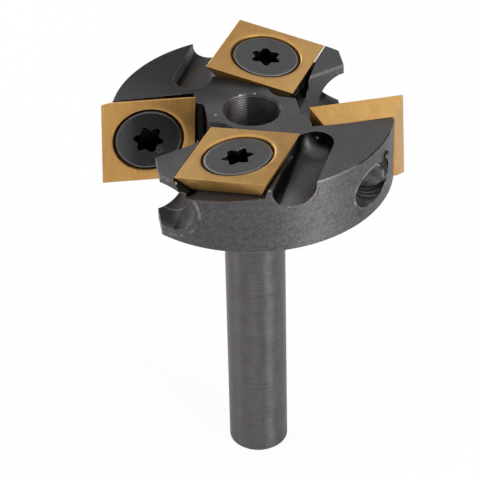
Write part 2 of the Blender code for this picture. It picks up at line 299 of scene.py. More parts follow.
class HeadMap:
    """The head's material, with the places, slopes and noises that its masks are made from."""

    def __init__(self):
        finish = Finish("head_black_oxide", metallic=0.55)
        finish.shader.inputs["Anisotropic"].default_value = 0.8
        finish.shader.inputs["Anisotropic Rotation"].default_value = 0.25
        self.finish = finish
        self.place = finish.millimetres()
        self.x, self.y, self.z = finish.split(self.place)
        self.u, self.v = self.x * self.y.sign(), self.y.size()
        self.near = 0 - self.y - self.x
        self.radius = (self.x * self.x + self.y * self.y) ** 0.5
        self.up = finish.upward()
        self.slanted = self.up.rise(0.60, 0.66) * self.up.fall(0.76, 0.82)
        self.broken = self.slanted * self.z.rise(FACE - 0.6, FACE - 0.5)
        self.top = self.z.rise(FACE - 0.3, FACE - 0.2)
        self.sunk = self.z.fall(FACE - 0.12, FACE - 0.02)
        self.hole = self.radius.fall(4.6, 4.8)
        self.outer = self.radius.rise(HEAD_RADIUS - 0.4, HEAD_RADIUS - 0.3)
        self.rim = self.radius.rise(HEAD_RADIUS - 0.06, HEAD_RADIUS - 0.02)
        self.bore = self.from_axis(BORE_AXIS).fall(3.4, 3.5)
        from_slot = off_point((self.u, self.v), *SLOT_LINE).size()
        self.slot = from_slot.fall(2.25, 2.4) * self.sunk * (1 - self.rim)
        self.mottle = finish.cloud(self.place, 0.55, 4.0)
        self.grain = finish.cloud(self.place, 6.0, 2.0)
        self.fleck = finish.cloud(self.place, 2.6, 4.0, 0.75)
        self.speck = finish.cloud(self.place, 3.2, 5.0, 0.7).rise(0.58, 0.70)
        self.lines = finish.cloud(finish.millimetres((0.12, 0.12, 7.0)), 1.0, 3.0, 0.7)

    def from_axis(self, axis):
        """The distance from a hole's axis, which runs along Y."""
        return ((self.u - axis[0]) ** 2 + (self.z - axis[1]) ** 2) ** 0.5

    def ring(self, axis, low, high):
        """1 between two distances from a hole's axis."""
        away = self.from_axis(axis)
        return away.rise(low - 0.05, low + 0.05) * away.fall(high - 0.1, high + 0.1)


print("driver bores at u", round(BORE_AXIS[0], 2), "mm, tapped holes at u", round(TAP_AXIS[0], 2), "mm")

# %% [markdown]
# ## The oxide's own tone
#
# No two places on oxidised steel are equally dark. The faced top shows faint rings and carries a painted
# shade on one side, the turned rim carries flecks and level lines, the inside of a driver bore has painted
# shade, and the floor of a chip slot and the last threads of a tapped hole have painted light.

# %% Tone of the oxide
def oxide_tone(head):
    """0 for the darkest oxide, 1 for the palest."""
    tone = 0.24 + 0.30 * head.mottle + 0.36 * (head.grain - 0.5) + 0.4 * (head.fleck - 0.5)
    turned = 0.35 * (head.lines - 0.3) + 1.1 * (head.fleck - 0.5)
    # The faced top: turning rings, and a painted shade towards its back left.
    faced = 0.19 + 0.035 * (head.radius * 11.0).sine() - 0.65 * (head.y - head.x).rise(0.0, 16.0)
    # Painted shade inside the driver bores, a little less near the rim.
    bored = 0.28 * head.radius.rise(16.9, 17.2) - 0.33
    # Painted light on the last threads of each tapped hole, and at the end on the floor of each chip slot.
    run_out = head.from_axis(TAP_AXIS).fall(2.7, 2.8) * head.v.rise(11.1, 12.6) * (1 - head.rim)
    tone = tone + head.rim * turned + head.top * faced + head.bore * bored
    return tone + 0.2 * head.slot * head.up.rise(0.6, 0.8) + 0.95 * run_out


# %% [markdown]
# ## Painted shade
#
# A camera sees almost black in a narrow hollow, because light hardly gets in. So the steep walls of the chip
# slots, the inner ends of the gullets and the gaps beside the lying inserts get a painted shade, a darker
# colour. A band of painted shade also lies on the top, along the inner edge of the back insert.

# %% Masks for the hollows
GAP_LINE = ((6.5, 4.6), (0.86, -0.51))
# Spots of painted shadow in two deep corners, each a centre and a radius in millimetres.
PAINTED_SHADOWS = (((-10.1, -12.9, 51.9), 1.35), ((7.4, 5.9, 52.6), 1.2))
# A band of painted shade on the top, in front of the back insert's inner edge.
SHADE_BAND_PLACE = (-2.43, 7.66)
SHADE_BAND_ACROSS = (-0.617, -0.787)
SHADE_BAND_ALONG = (0.787, -0.617)


def painted_shade_places(head):
    """1 in the hollows that get a painted shade."""
    wall = head.slot * head.up.fall(0.45, 0.75)
    gullet = head.u.rise(-9.3, -9.0) * head.u.fall(-5.7, -5.5) * head.v.fall(3.8, 4.0) * head.sunk
    beside = off_point((head.u, head.v), *GAP_LINE)
    gap = beside.rise(-1.6, -1.3) * beside.fall(0.4, 0.6) * head.v.rise(5.6, 5.9) * head.u.rise(6.0, 6.2)
    dark = wall.at_least(gullet).at_least(gap * head.sunk * (1 - head.rim))
    for centre, size in PAINTED_SHADOWS:
        dark = dark.at_least(head.finish.spot(head.place, centre, size))
    return dark


def painted_shade_band(head):
    """The band of painted shade on the top, under the back insert's overhanging edge."""
    across = off_point((head.x, head.y), SHADE_BAND_PLACE, SHADE_BAND_ACROSS)
    along = off_point((head.x, head.y), SHADE_BAND_PLACE, SHADE_BAND_ALONG)
    band = across.rise(-1.5, -1.2) * across.fall(-0.3, 2.0) * along.rise(-2.2, -0.8) * along.fall(4.0, 6.5)
    return band * head.up.rise(0.9, 0.97) * head.top * (0.35 + 0.6 * head.mottle)


# %% [markdown]
# ## Bare steel
#
# Oxide goes first from sharp edges and from thread crests. The Bevel node finds the sharp edges: it rounds
# the normal near an edge, so where the rounded normal leaves the true one there is an edge. The broken
# edges, the step in each driver bore and the mouths of the holes on the rim are wider than that, so they
# have masks of their own.

# %% Masks for bare steel
def crests_and_painted_streak(head):
    """Bare thread crests in the centre hole, with a painted highlight streak on its far wall."""
    # A painted highlight: a streak on the far wall of the centre hole, which also lights the fine lines on
    # its mouth.
    lean = (0 - head.x) / (head.radius + 0.001)
    streak = lean.rise(0.0, 0.1) * lean.fall(0.55, 0.8) * head.y.rise(0.0, 0.5) * head.radius.fall(3.8, 3.9)
    crests = head.radius.fall(BORE_CREST - 0.07, BORE_CREST - 0.02)
    crests = crests * head.z.rise(HEAD_BACK + 0.5, HEAD_BACK + 1.0)
    mouth = head.broken * head.hole * streak * (head.radius * 17.5).sine().at_least(0)
    return (crests * (0.1 + 0.5 * streak)).at_least(mouth * 0.5)


def worn_places(head):
    """How much of the oxide has gone, with a painted highlight streak in the centre hole."""
    broken = head.broken * (1 - head.hole) * (1 - head.outer * head.near.fall(3.0, 6.5))
    step = head.bore * head.radius.rise(14.75, 14.85) * head.radius.fall(14.95, 15.05)
    ledge = head.radius.rise(HEAD_RADIUS - 0.32, HEAD_RADIUS - 0.22) * head.z.fall(FACE - 1.0, FACE - 0.8)
    ledge = ledge * head.up.rise(0.9, 0.97) * head.grain.rise(0.4, 0.55)
    mouths = head.rim * (head.ring(BORE_AXIS, 3.85, 4.15) + head.ring(TAP_AXIS, 2.6, 2.95))
    worn = broken * (0.35 + 0.25 * head.speck) + crests_and_painted_streak(head) + step * 0.4 + ledge * 0.6
    worn = worn + mouths * 0.5 * head.speck.at_least(head.mottle.rise(0.45, 0.6))
    sharp = head.finish.edges(0.00012) * head.finish.cloud(head.place, 1.3, 3.0).rise(0.35, 0.6)
    return worn.at_least(sharp * 0.8)


# %% [markdown]
# ## Layer over layer
#
# With the masks ready, the head's colour is a list of layers, each laid over the ones before it. The small
# ones are spots, given by a centre and a radius in millimetres: a painted highlight on the wall of the front
# chip slot, which fades out softly from a small core, a stain on the rim, and chips where a sharp corner was
# knocked and the steel shows.

# %% The head's finish
# A painted highlight in the front chip slot: centre, radius and core.
PAINTED_GLINT = ((5.9, -6.7, 52.3), 1.5, 0.05)
STAIN = ((11.4, -13.6, 47.2), 1.6)
CHIPS = (((-4.75, -0.37, FACE), 0.2), ((-1.0, 3.64, FACE), 0.2), ((0.9, 3.65, FACE), 0.16),
         ((-11.53, -13.41, 53.4), 0.22), ((7.18, -6.4, 53.1), 0.2), ((13.7, -11.2, 46.9), 0.25))


def head_finish():
    """Black oxide with its painted shade and highlights, a stain and its bare steel."""
    head = HeadMap()
    finish = head.finish
    dark = painted_shade_places(head)
    bare = finish.cloud(head.place, 2.2, 2.0).rise(0.45, 0.62)
    bare = finish.mix(bare, (0.27, 0.265, 0.265), (0.40, 0.31, 0.29))
    rim_line = head.outer * head.slanted * head.near.rise(-9.0, -7.0) * head.near.fall(2.6, 4.6)
    # Painted shade, a painted highlight in the front slot and painted shade in the centre hole, then wear and
    # a stain.
    layers = [(painted_shade_band(head), (0.014, 0.012, 0.011)),
              (dark * 0.9, (0.005, 0.005, 0.005)),
              (finish.spot(head.place, *PAINTED_GLINT) * 0.35, (0.30, 0.295, 0.30)),
              (head.hole * head.up.fall(0.82, 0.9) * 0.6, (0.02, 0.019, 0.02)),
              (worn_places(head), bare),
              (rim_line * 0.9, (0.01, 0.01, 0.01)),
              (finish.spot(head.place, *STAIN) * head.mottle.rise(0.3, 0.6) * 0.6, (0.018, 0.017, 0.018))]
    layers += [(finish.spot(head.place, centre, size), (0.36, 0.34, 0.34)) for centre, size in CHIPS]
    colour = finish.mix(oxide_tone(head), (0.020, 0.0195, 0.021), (0.130, 0.125, 0.130))
    for mask, paint in layers:
        colour = finish.mix(mask, colour, paint)
    height = head.grain * 0.5 + head.mottle * 0.2 + head.rim * head.lines
    # The painted shade also makes the hollows mirror more.
    return finish.paint(base_color=colour, roughness=0.34 + 0.2 * head.mottle, metallic=0.55 + 0.42 * dark,
                        normal=finish.bump(height, 0.00005, 0.8))


HEAD_FINISH = head_finish()
print("made", HEAD_FINISH.name, "with", len(HEAD_FINISH.node_tree.nodes), "nodes")

# %% [markdown]
# ## The shank's finish
#
# The shank is ground bar. Its oxide is smoother than the head's, so it mirrors the room in long upright
# bands, broken by very fine rings. One side is a little browner, and the left side is lighter, a painted
# highlight.

# %% Shank black
def shank_finish():
    """Smooth oxide over fine level rings, browner on one side, a painted highlight on the left, bare on the
    end's edge.
    """
    finish = Finish("shank_black_oxide", metallic=0.6)
    finish.shader.inputs["Anisotropic"].default_value = 0.85
    finish.shader.inputs["Anisotropic Rotation"].default_value = 0.25
    place = finish.millimetres()
    x, y, z = finish.split(place)
    rings = finish.cloud(finish.millimetres((0.08, 0.08, 7.0)), 1.0, 3.0, 0.7)
    cloud = finish.cloud(place, 0.35, 3.0)
    grain = finish.cloud(place, 8.0, 2.0)
    patch = finish.cloud(finish.millimetres((1.0, 1.0, 0.25)), 0.9, 4.0, 0.7)
    tone = 0.42 + 1.3 * (rings - 0.5) + 0.35 * (cloud - 0.5) + 0.3 * (grain - 0.5) + 0.9 * (patch - 0.5)
    # A painted highlight along the left side.
    tone = tone + 0.26 * (0 - x).rise(-0.4, 1.2)
    colour = finish.mix(tone, (0.036, 0.035, 0.036), (0.125, 0.121, 0.123))
    brown = (0 - x).rise(0.2, 3.0) * (0 - y).rise(-1.0, 2.0) * cloud.rise(0.3, 0.7)
    colour = finish.mix(brown * 0.5, colour, (0.085, 0.066, 0.055))
    wear = finish.edges(0.0001)
    colour = finish.mix(wear * 0.4, colour, (0.22, 0.215, 0.21))
    height = rings * 0.8 + grain * 0.2
    return finish.paint(base_color=colour, roughness=0.30 + 0.14 * cloud,
                        normal=finish.bump(height, 0.00005, 0.8))


SHANK_FINISH = shank_finish()
print("made", SHANK_FINISH.name)

# %% [markdown]
# ## Gold on ground carbide
#
# The inserts are ground all over and then coated, so the gold shows the grinding under it: long fine lines
# across the face, and short ones down each flank. The lines have to follow the insert and not the room, so
# they read the place that each point had before the insert was tilted into its seat, which the mesh keeps
# as an attribute called bench.

# %% Insert gold
def insert_finish():
    """Gold over grinding lines that follow the insert, with a few dark pits and painted shade."""
    finish = Finish("insert_gold_coating", metallic=0.82)
    place = finish.millimetres((1, 1, 1), "bench")
    x, y, z = finish.split(place)
    face = z.rise(-0.12, -0.04)
    face_lines = finish.cloud(finish.millimetres((9.0, 0.25, 0.25), "bench"), 1.0, 3.0, 0.6)
    flank_lines = finish.cloud(finish.millimetres((3.0, 3.0, 0.35), "bench"), 1.6, 3.0, 0.65)
    cloud = finish.cloud(place, 0.35, 3.0)
    pits = finish.cloud(place, 4.5, 2.0).rise(0.70, 0.76)
    lines = flank_lines + face * (face_lines - flank_lines)
    # Painted shade: the gold darkens along the insert's X, and more on faces that stand upright.
    upright = 1 - finish.upward().size().rise(0.3, 0.7)
    tone = 0.5 + 0.9 * (lines - 0.5) + 0.6 * (cloud - 0.5) - 0.035 * x - 0.3 * upright * (1 - 0.1 * x)
    colour = finish.mix(tone, (0.42, 0.220, 0.062), (0.70, 0.43, 0.150))
    colour = finish.mix(pits * 0.6, colour, (0.22, 0.12, 0.05))
    rough = 0.34 + 0.12 * cloud + 0.1 * (lines - 0.5)
    return finish.paint(base_color=colour, roughness=rough, normal=finish.bump(lines, 0.000012, 0.5))


INSERT_FINISH = insert_finish()
print("made", INSERT_FINISH.name)

# %% [markdown]
# ## Screw black
#
# The screw heads were turned, so their tops carry rings round the socket. The oxide is thin on the edge of
# the head, which shows as a pale circle, and the socket gets a painted shade, the darkest place of all. The
# standing screws get a darker copy of the oxide, a painted shade, that mirrors more, and each shows a
# painted highlight on one side of its head and two small pale arcs, painted highlights on dents.

# %% Screw finish
SCREW_REACH = 7.85
SCREW_TIP = 1.75
# Two painted highlights, pale arcs on dents: centre and radius in millimetres.
DENT_HIGHLIGHTS = (((0.85, 0.95, -0.3), 0.55), ((1.4, -1.63, -0.15), 0.48))


def screw_finish(name, light, metallic, highlight_arcs=()):
    """Oxide of a given lightness, with painted highlights where arcs are given."""
    finish = Finish(name, metallic=metallic)
    place = finish.millimetres((1, 1, 1), "bench")
    x, y, z = finish.split(place)
    radius = (x * x + y * y) ** 0.5
    head = z.rise(-0.6, -0.2)
    rings = (radius * 21.0).sine() * 0.5 + 0.5
    mottle = finish.cloud(place, 0.9, 3.0)
    grain = finish.cloud(place, 7.0, 2.0)
    tone = 0.3 + 0.5 * mottle + 0.4 * (grain - 0.5) + 0.25 * head * (rings - 0.5)
    colour = finish.mix(tone, [0.3 * light] * 3, [light, light, 1.03 * light])
    tip = z.fall(-SCREW_REACH + 0.02, -SCREW_REACH + 0.1)
    tip_colour = finish.mix(mottle.rise(0.35, 0.6), (0.045, 0.045, 0.046), (0.10, 0.098, 0.10))
    colour = finish.mix(tip * 0.8, colour, tip_colour)
    lip = tip * radius.rise(SCREW_TIP - 0.16, SCREW_TIP - 0.08)
    colour = finish.mix(lip * mottle.rise(0.4, 0.6) * 0.4, colour, (0.42, 0.34, 0.33))
    worn = radius.rise(3.95, 4.1) * radius.fall(4.18, 4.26) * head
    worn = (worn * 0.5).at_least(finish.edges(0.0001) * head * mottle.rise(0.4, 0.6) * 0.7)
    colour = finish.mix(worn, colour, (0.26, 0.25, 0.25))
    # Painted shade in the socket, which also mirrors more.
    socket = radius.fall(2.02, 2.1) * z.fall(-0.25, -0.19) * z.rise(-4.0, -3.5)
    colour = finish.mix(socket * 0.9, colour, (0.006, 0.006, 0.006))
    # Each arc is a painted highlight, and each one also lays a painted highlight on the left of the head.
    for centre, size in highlight_arcs:
        arc_highlight = finish.spot(place, centre, size, 0.8) - finish.spot(place, centre, size * 0.6, 0.75)
        colour = finish.mix(arc_highlight * grain.rise(0.4, 0.55) * 0.4, colour, (0.20, 0.20, 0.205))
        colour = finish.mix((0 - x).rise(1.2, 3.8) * head * 0.3, colour, (0.10, 0.10, 0.10))
    height = rings * head * 0.5 + grain * 0.5
    shine = metallic + (0.97 - metallic) * socket
    return finish.paint(base_color=colour, roughness=0.36 + 0.14 * mottle, metallic=shine,
                        normal=finish.bump(height, 0.000025, 0.6))


# The standing screws get a darker copy of the oxide, a painted shade.
SCREW_FINISHES = {"lying": screw_finish("screw_black_oxide", 0.098, 0.5),
                  "standing": screw_finish("screw_black_oxide_darker", 0.034, 0.9, DENT_HIGHLIGHTS)}
print("made", [finish.name for finish in SCREW_FINISHES.values()])

# %% [markdown]
# ## Helpers for new pieces
#
# A finished piece keeps its object at the origin, with its place in its mesh. So a piece is modelled on a
# bench of its own, in millimetres round the origin. One helper then notes the bench place in an attribute,
# scales the mesh to metres and moves it to its seat, and another hands it to the body that carries it.

# %% From the bench to its seat
def spin_profile(profile, steps):
    """A turned shape from (radius, height) points: a chain of edges, spun once round Z."""
    shape = bmesh.new()
    points = [shape.verts.new((radius, 0, height)) for radius, height in profile]
    chain = [shape.edges.new(pair) for pair in zip(points, points[1:])]
    bmesh.ops.spin(shape, geom=points + chain, cent=(0, 0, 0), axis=(0, 0, 1), angle=2 * math.pi,
                   steps=steps, use_merge=True)
    bmesh.ops.remove_doubles(shape, verts=shape.verts, dist=0.0001)
    bmesh.ops.recalc_face_normals(shape, faces=shape.faces)
    return shape


def piece_from(shape, name, finish, seat=None, sharp=30):
    """An object at the origin whose mesh lies in its seat, in metres."""
    mesh = bpy.data.meshes.new(name)
    shape.to_mesh(mesh)
    shape.free()
    bench = mesh.attributes.new("bench", "FLOAT_VECTOR", "POINT")
    for vertex in mesh.vertices:
        bench.data[vertex.index].vector = vertex.co * MM
    place = Matrix.Scale(MM, 4)
    if seat is not None:
        place = seat @ place
    mesh.transform(place)
    mesh.shade_smooth()
    mesh.set_sharp_from_angle(angle=math.radians(sharp))
    mesh.materials.append(finish)
    piece = bpy.data.objects.new(name, mesh)
    bpy.context.scene.collection.objects.link(piece)
    return piece


def apply_cuts(piece, cutters):
    """Cut the piece with solid tools, once, and clear the tools away."""
    for cutter in cutters:
        step = piece.modifiers.new(cutter.name, "BOOLEAN")
        step.operation = "DIFFERENCE"
        step.solver = "MANIFOLD"
        step.object = cutter
    bpy.context.view_layer.update()
    evaluated = piece.evaluated_get(bpy.context.evaluated_depsgraph_get())
    mesh = bpy.data.meshes.new_from_object(evaluated)
    piece.modifiers.clear()
    piece.data = mesh
    for cutter in cutters:
        bpy.data.objects.remove(cutter)
    shape = bmesh.new()
    shape.from_mesh(mesh)
    print(piece.name, "open edges after the cuts:", sum(not edge.is_manifold for edge in shape.edges))
    shape.free()


def seat_piece(piece, node):
    """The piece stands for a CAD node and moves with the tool's one body."""
    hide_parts(node)
    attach(piece, "root")
    print(piece.name, len(piece.data.polygons), "faces")


print("bench helpers ready")

# %% [markdown]
# ## The shank
#
# The shank is a turned bar, so it is one profile spun round the axis. Real turned work is never a dead
# straight line: the profile is walked down in small steps, and every other one is pushed in by a few
# thousandths of a millimetre at most, which breaks the long reflections the way the real rings do.

# %% Turn the shank
SHANK_STEPS = 96
RING_PITCH = 0.22
RING_DEPTH = 0.004
END_CHAMFER = 0.4
SHOULDER_GAP = 0.1
STUD_RADIUS = 3.3


def shank_profile():
    """The shank's outline, from the top of the stud down to the middle of the flat end."""
    low = shank_low.z / MM
    shoulder = HEAD_BACK - SHOULDER_GAP
    top = shank_high.z / MM
    chance = random.Random(8)
    points = [(0, top), (STUD_RADIUS - 0.4, top), (STUD_RADIUS, top - 0.4), (STUD_RADIUS, shoulder)]
    points += [(SHANK_RADIUS - 0.12, shoulder), (SHANK_RADIUS, shoulder - 0.12)]
    rings = int((shoulder - low - END_CHAMFER - 0.5) / RING_PITCH)
    for ring in range(rings):
        height = shoulder - 0.3 - ring * RING_PITCH
        points.append((SHANK_RADIUS - RING_DEPTH * chance.random() * (ring % 2), height))
    corner = low + END_CHAMFER
    points += [(SHANK_RADIUS, corner + 0.05), (SHANK_RADIUS - 0.02, corner - 0.03)]
    flat = SHANK_RADIUS - END_CHAMFER
    points += [(flat + 0.03, low + 0.03), (flat - 0.04, low), (0, low)]
    return points


shank = piece_from(spin_profile(shank_profile(), SHANK_STEPS), "ground_shank", SHANK_FINISH)
seat_piece(shank, "shank")

# %% [markdown]
# ## Taps
#
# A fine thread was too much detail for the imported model, so its holes are plain and the threads are cut
# here the way a tap cuts them. A tap is a rod whose surface rises and falls along a helix: a rippled upright
# line is spun round and lifted by one pitch in each turn, so the end of a turn meets the start of the next.
# The middle hole gets a finer helix from a boring tool of the same kind.

# %% Make the taps
TAP_ROOT = 2.55
TAP_CREST = 2.86
TAP_PITCH = 0.8
TAP_START = -2.0
TAP_ENDS = {"lying": -16.0, "standing": -9.6}
BORE_ROOT = 3.36
BORE_PITCH = 0.36


def ridge(phase):
    """A thread's outline over one pitch, from 0 at the root to 1 at the crest."""
    return 1 - abs(2 * (phase % 1) - 1)


def threaded_rod(root, crest, pitch, low, high, rows=6, steps=48):
    """A closed rod along Z: one rippled line, spun round and lifted by a pitch in each turn."""
    shape = bmesh.new()
    count = int((high - low) / pitch * rows)
    points = []
    for row in range(count + 1):
        radius = root + (crest - root) * ridge(row / rows)
        points.append(shape.verts.new((radius, 0, low + pitch * row / rows)))
    chain = [shape.edges.new(pair) for pair in zip(points, points[1:])]
    bmesh.ops.spin(shape, geom=points + chain, cent=(0, 0, 0), axis=(0, 0, 1), angle=2 * math.pi,
                   steps=steps, dvec=(0, 0, pitch / steps))
    bmesh.ops.remove_doubles(shape, verts=shape.verts, dist=0.0005)
    bmesh.ops.holes_fill(shape, edges=shape.edges, sides=0)
    bmesh.ops.recalc_face_normals(shape, faces=shape.faces)
    return shape


def hole_taps():
    """One tap for each insert screw, and the boring tool for the middle."""
    tools = []
    for kind, seat in SEATS.items():
        rod = threaded_rod(TAP_ROOT, TAP_CREST, TAP_PITCH, TAP_ENDS[kind[:-2]], TAP_START)
        tools.append(piece_from(rod, "tap_" + kind, HEAD_FINISH, seat))
    bore = threaded_rod(BORE_ROOT, BORE_CREST, BORE_PITCH, HEAD_BACK - 1, FACE - 0.4, 4, 96)
    tools.append(piece_from(bore, "boring_tool", HEAD_FINISH))
    return tools


print("thread depth in mm:", round(TAP_CREST - TAP_ROOT, 2), "in the screw holes,",
      round(BORE_CREST - BORE_ROOT, 2), "in the middle")

# %% [markdown]
# ## Small cuts
#
# Two more places need a tool. The pocket of the back lying insert is a little wider than the front one,
# splayed towards its corner, and the edge between each gullet and the top was broken with a file. Both are
# cut with boxes. A box along an edge needs a frame of its own, and that frame has to be right-handed: in a
# left-handed one the box turns inside out, and the Boolean cuts the wrong shape.

# %% Boxes for the small cuts
GAP_PIVOT = (-6.13, -3.5, 0)
GAP_END = (-5.0, 3.9, 2)
GAP_SPLAY = 6.5
GAP_LEAN = -20
EDGE_HALF_WIDTH = 0.19
EDGE_HALF_LENGTH = 4.6
EDGE_ENDS = ((8.02, 5.91, FACE), (13.9, 8.38, FACE))


def box_tool(name, low, high, seat, turn=0.0, pivot=(0, 0, 0), tilt=0.0):
    """A box between two corners, tilted about Y, turned about Z at a pivot and set in a seat."""
    shape = bmesh.new()
    bmesh.ops.create_cube(shape, size=1)
    middle = [(a + b) / 2 for a, b in zip(low, high)]
    bmesh.ops.scale(shape, vec=[b - a for a, b in zip(low, high)], verts=shape.verts)
    bmesh.ops.translate(shape, vec=middle, verts=shape.verts)
    bmesh.ops.rotate(shape, cent=pivot, matrix=Matrix.Rotation(math.radians(tilt), 3, "Y"), verts=shape.verts)
    bmesh.ops.rotate(shape, cent=pivot, matrix=Matrix.Rotation(math.radians(turn), 3, "Z"), verts=shape.verts)
    return piece_from(shape, name, HEAD_FINISH, seat)


def edge_frame(first, second):
    """A frame with Z along an edge, and X and Y at 45 degrees to the sides that meet there."""
    along = (Vector(second) - Vector(first)).normalized()
    up = Vector((0, 0, 1))
    out = along.cross(up).normalized()
    axes = Matrix(((up - out).normalized(), (up + out).normalized(), along)).transposed().to_4x4()
    return Matrix.Translation((Vector(first) + Vector(second)) / 2 * MM) @ axes


def fine_cutters():
    """The widened side and corner of one pocket, and the broken edges of the two gullets."""
    seat = SEATS["lying_a"]
    side = GAP_PIVOT[0]
    tools = [box_tool("side_gap", (side, GAP_PIVOT[1], -2.93), GAP_END, seat, GAP_SPLAY, GAP_PIVOT, GAP_LEAN),
             box_tool("relief_corner", (side, 0.6, -2.9), GAP_END, seat, GAP_SPLAY, GAP_PIVOT)]
    corner = (EDGE_HALF_WIDTH, EDGE_HALF_WIDTH, EDGE_HALF_LENGTH)
    for half in range(2):
        place = Matrix.Rotation(math.pi * half, 4, "Z") @ edge_frame(*EDGE_ENDS)
        tools.append(box_tool("gullet_edge_%d" % half, [-value for value in corner], corner, place))
    return tools


print("gullet edges broken by", round(EDGE_HALF_WIDTH * math.sqrt(2), 2), "mm")

# %% [markdown]
# ## Burrs
#
# Where a tap leaves the rim at a slant, it pushes a thin rag of metal out of the hole, and the slot cutter
# leaves a shorter one. A burr starts as a chain of edges laid on the rim, given by an angle and a height for
# each point. The chain is pushed outwards by uneven amounts, and the strip gets a thickness.

# %% Burrs on the rim
BURR_THICKNESS = 0.05
BURRS = (
    ((-36.5, -35.2, -34.2, -33.0, -31.6, -30.4, -30.8), (51.0, 51.5, 52.0, 52.3, 52.2, 51.7, 51.3), 0.16),
    ((-36.0, -34.6, -33.4, -32.2, -31.6, -30.2), (50.7, 50.9, 51.3, 51.2, 50.7, 50.4), 0.12),
    ((-30.2, -29.6, -29.9, -31.0), (50.6, 49.9, 49.2, 48.5), 0.10),
    ((-72.7, -73.0, -73.4), (53.3, 52.8, 52.4), 0.09),
    ((-74.2, -74.9, -76.0), (51.9, 51.5, 51.3), 0.08),
)


def on_rim(angle, height):
    """A point on the rim, at an angle in degrees."""
    turn = math.radians(angle)
    return HEAD_RADIUS * math.cos(turn), HEAD_RADIUS * math.sin(turn), height


def burr(shape, points, reach, chance):
    """A thin strip of metal that stands out from a chain of points by uneven amounts."""
    line = [shape.verts.new(point) for point in points]
    chain = [shape.edges.new(pair) for pair in zip(line, line[1:])]
    made = bmesh.ops.extrude_edge_only(shape, edges=chain)["geom"]
    for vertex in made:
        if isinstance(vertex, bmesh.types.BMVert):
            out = Vector((vertex.co.x, vertex.co.y, 0)).normalized()
            vertex.co += out * reach * (0.5 + chance.random()) + Vector((0, 0, 0.1 * reach))
    faces = [face for face in made if isinstance(face, bmesh.types.BMFace)]
    bmesh.ops.solidify(shape, geom=faces, thickness=BURR_THICKNESS)


def rim_burrs():
    """All the burrs, as one piece."""
    shape = bmesh.new()
    chance = random.Random(5)
    for angles, heights, reach in BURRS:
        burr(shape, [on_rim(angle, height) for angle, height in zip(angles, heights)], reach, chance)
    return piece_from(shape, "rim_burrs", HEAD_FINISH)


print(len(BURRS), "burrs, the longest", BURRS[0][2], "mm")

# %% [markdown]
# ## The head
#
# The head's shape comes from the imported model: its mesh is copied and its loose triangles are merged into
# one skin. The tools then cut it. Of the Boolean solvers, Manifold is the steady one here: the boring tool
# nearly touches the wall of its hole, where the exact solver can give a broken head. The cell prints how
# many edges are open after the cuts, which has to be none.
#
# The rim is made of flats. They get the normals of a true cylinder, which hides them, and every other
# corner keeps its own normal, because a custom normal of zero leaves it as it is.

# %% Machine the head
def copy_of_node(node, name, finish):
    """A CAD node's mesh as a new piece, its triangles merged into one skin."""
    shape = bmesh.new()
    shape.from_mesh(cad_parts[node].data)
    bmesh.ops.remove_doubles(shape, verts=shape.verts, dist=0.000001)
    bmesh.ops.scale(shape, vec=(1 / MM, 1 / MM, 1 / MM), verts=shape.verts)
    bmesh.ops.dissolve_limit(shape, angle_limit=math.radians(0.3), verts=shape.verts, edges=shape.edges)
    return piece_from(shape, name, finish)


def true_rim(mesh):
    """Give the rim's flats the normals of a true cylinder."""
    normals = [Vector((0, 0, 0))] * len(mesh.loops)
    for face in mesh.polygons:
        if abs(face.normal.z) < 0.02:
            spots = [mesh.vertices[index].co.xy / MM for index in face.vertices]
            if min(spot.length for spot in spots) > HEAD_RADIUS - 0.06 and face.normal.xy.dot(spots[0]) > 0:
                for loop, spot in zip(face.loop_indices, spots):
                    normals[loop] = spot.normalized().to_3d()
    mesh.normals_split_custom_set(normals)


def add_to(piece, extra):
    """Take another mesh into a piece."""
    shape = bmesh.new()
    shape.from_mesh(piece.data)
    shape.from_mesh(extra.data)
    shape.to_mesh(piece.data)
    shape.free()
    bpy.data.objects.remove(extra)


head = copy_of_node("cutter_head", "oxide_head", HEAD_FINISH)
apply_cuts(head, fine_cutters() + hole_taps())
add_to(head, rim_burrs())
head.data.shade_smooth()
head.data.set_sharp_from_angle(angle=math.radians(28))
true_rim(head.data)
seat_piece(head, "cutter_head")

# %% [markdown]
# ## The inserts
#
# An insert is a square with a countersunk hole, ground so that its flanks fall away behind the cutting
# edges. It could be a box with a hole cut through it, but that leaves long thin faces. Here it starts at
# the hole: a circle is pushed outwards ring by ring, up the countersink and out to a ring that is made
# square, then down the flank. Every ring has the same count of points, so the skin is even all over.

# %% Grind the inserts
INSERT_SIDE = 12.0
INSERT_THICKNESS = 2.5
FLANK_ANGLE = 30.0
HONE = 0.06
HOLE_RADIUS = 2.85
SINK_RADIUS = 4.7
RING_POINTS = 96


def push_out(shape, ring):
    """Extrude a ring of edges: its new points and its new edges."""
    made = bmesh.ops.extrude_edge_only(shape, edges=ring)["geom"]
    points = [item for item in made if isinstance(item, bmesh.types.BMVert)]
    return points, [item for item in made if isinstance(item, bmesh.types.BMEdge)]


def next_ring(shape, ring, radius, height, square=False):
    """Push a ring of edges out to a new radius and height, round or square."""
    points, edges = push_out(shape, ring)
    for point in points:
        flat = point.co.xy.normalized()
        reach = max(abs(flat.x), abs(flat.y)) if square else 1
        point.co.xy = flat * radius / reach
        point.co.z = height
    return edges


def chip_corner(shape, chance, corner=(-1, 1), reach=1.1):
    """Knock the sharp point off one corner: its edge points are drawn down by uneven amounts."""
    for point in shape.verts:
        if point.co.z > -0.5:
            spare = point.co.x * corner[0] + point.co.y * corner[1] - INSERT_SIDE + reach
            if spare > 0:
                point.co.y -= corner[1] * spare * (0.17 + 0.08 * chance.random())


